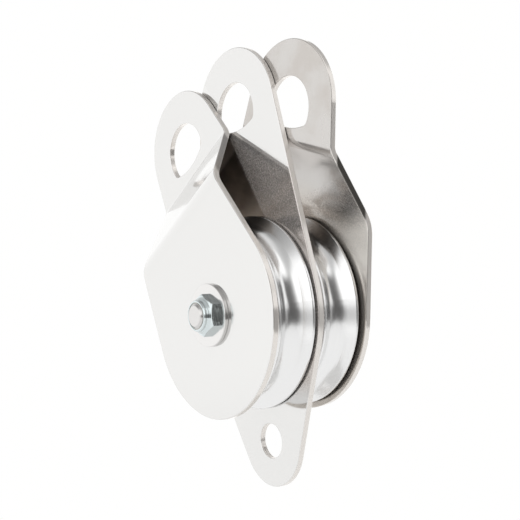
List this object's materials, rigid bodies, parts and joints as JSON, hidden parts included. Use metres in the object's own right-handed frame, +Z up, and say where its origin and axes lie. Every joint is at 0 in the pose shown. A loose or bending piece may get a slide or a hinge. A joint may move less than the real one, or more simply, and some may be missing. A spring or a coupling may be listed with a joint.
{
  "type": "double block",
  "caption": "Double block with two grooved sheaves side by side, two swinging side plates and a middle plate with an eye above and a becket below",
  "frame": {"origin": "centre of the round part of the middle plate's upper eye, at the middle of the plate's thickness", "axes": "+Z up along the middle plate from the axle to the eye; +Y along the bolt, from the nut to the head; +X to the right of both when the nut faces the viewer"},
  "size_m": [0.1184, 0.0618, 0.1766],
  "materials": {
    "polished_plate": "polished stainless steel",
    "polished_sheave": "mirror-polished aluminium",
    "bolt_steel": "bright stainless steel",
    "washer_steel": "polished stainless steel",
    "bearing_steel": "ground bearing steel",
    "seal_steel": "pressed steel shield, satin",
    "cage_plastic": "moulded natural nylon",
    "insert_nylon": "moulded white nylon",
    "ring_steel": "blackened spring steel"
  },
  "bodies": {
    "frame": {"middle_plate": "polished_plate", "axle_bolt": "bolt_steel", "axle_nut": "bolt_steel", "nut_insert": "insert_nylon", "nut_washer": "washer_steel", "head_washer": "washer_steel", "front_inner_spacer": "washer_steel", "front_outer_spacer": "washer_steel", "front_bearing_inner_race": "bearing_steel", "rear_inner_spacer": "washer_steel", "rear_outer_spacer": "washer_steel", "rear_bearing_inner_race": "bearing_steel"},
    "front_plate": {"front_side_plate": "polished_plate"},
    "rear_plate": {"rear_side_plate": "polished_plate"},
    "front_wheel": {"front_sheave": "polished_sheave", "front_bearing_outer_race": "bearing_steel", "front_inner_seal": "seal_steel", "front_outer_seal": "seal_steel", "front_retaining_ring": "ring_steel"},
    "front_cage": {"front_bearing_balls": "bearing_steel", "front_ball_cage": "cage_plastic"},
    "rear_wheel": {"rear_sheave": "polished_sheave", "rear_bearing_outer_race": "bearing_steel", "rear_inner_seal": "seal_steel", "rear_outer_seal": "seal_steel", "rear_retaining_ring": "ring_steel"},
    "rear_cage": {"rear_bearing_balls": "bearing_steel", "rear_ball_cage": "cage_plastic"}
  },
  "joints": [
    {"name": "front_plate_swing", "type": "hinge", "parent": "frame", "child": "front_plate", "pos_m": [0, 0, -0.0811], "axis": [0, 1, 0], "continuous": true},
    {"name": "rear_plate_swing", "type": "hinge", "parent": "frame", "child": "rear_plate", "pos_m": [0, 0, -0.0811], "axis": [0, 1, 0], "continuous": true},
    {"name": "front_sheave_spin", "type": "hinge", "parent": "frame", "child": "front_wheel", "pos_m": [0, 0, -0.0811], "axis": [0, 1, 0], "continuous": true},
    {"name": "front_cage_spin", "type": "hinge", "parent": "frame", "child": "front_cage", "pos_m": [0, 0, -0.0811], "axis": [0, 1, 0], "continuous": true},
    {"name": "rear_sheave_spin", "type": "hinge", "parent": "frame", "child": "rear_wheel", "pos_m": [0, 0, -0.0811], "axis": [0, 1, 0], "continuous": true},
    {"name": "rear_cage_spin", "type": "hinge", "parent": "frame", "child": "rear_cage", "pos_m": [0, 0, -0.0811], "axis": [0, 1, 0], "continuous": true}
  ],
  "couplings": [
    {"joint": "front_cage_spin", "follows": "front_sheave_spin", "ratio": 0.6204},
    {"joint": "rear_cage_spin", "follows": "rear_sheave_spin", "ratio": 0.6204}
  ]
}
